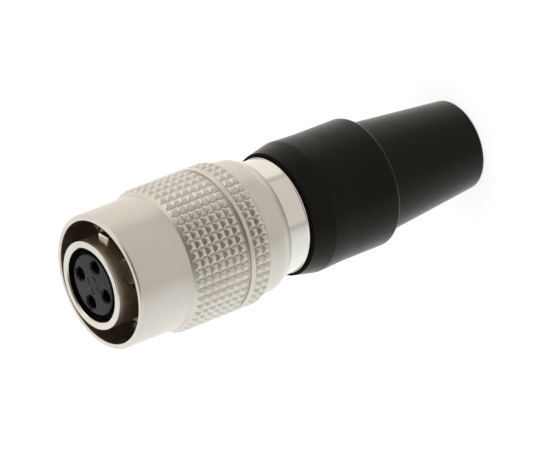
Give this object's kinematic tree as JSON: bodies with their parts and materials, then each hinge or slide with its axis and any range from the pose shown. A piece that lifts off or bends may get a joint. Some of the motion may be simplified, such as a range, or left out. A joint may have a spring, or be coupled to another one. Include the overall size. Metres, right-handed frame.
{
  "type": "push pull circular connector",
  "caption": "Straight cable plug with a knurled pull-back sleeve, a keyed nose with socket contacts, and a stepped rubber boot.",
  "frame": {"origin": "centre of the boot's flat end, on the plug's axis", "axes": "+Z along the plug's axis towards the mating face; the main guide key points to -Y"},
  "size_m": [0.011, 0.011, 0.0339],
  "materials": {
    "sleeve_nickel": "satin nickel plate",
    "bright_nickel": "polished nickel plate",
    "insulator": "moulded dark resin",
    "gold": "gold plate",
    "spring_steel": "drawn spring steel",
    "gasket_rubber": "soft moulded rubber",
    "boot_rubber": "semi-matte moulded rubber"
  },
  "bodies": {
    "plug": {"plug_shell": "bright_nickel", "contact_block": "insulator", "rear_insulator": "insulator", "insulator_clip": "spring_steel", "contact_1": "gold", "contact_2": "gold", "contact_3": "gold", "contact_4": "gold", "lock_spring": "spring_steel", "stop_ring": "spring_steel", "return_spring": "spring_steel", "spring_seat": "spring_steel", "rear_body": "bright_nickel", "shield_ring": "bright_nickel", "cable_gasket": "gasket_rubber", "thrust_washer": "bright_nickel", "clamp_collet": "bright_nickel", "clamp_nut": "bright_nickel", "cable_boot": "boot_rubber"},
    "sleeve": {"coupling_sleeve": "sleeve_nickel"}
  },
  "joints": [
    {"name": "sleeve_slide", "type": "slide", "parent": "plug", "child": "sleeve", "axis": [0, 0, -1], "range_m": [0, 0.0015], "stiffness_N_per_m": 600, "springref_m": -0.004, "deforming": ["return_spring"]}
  ]
}
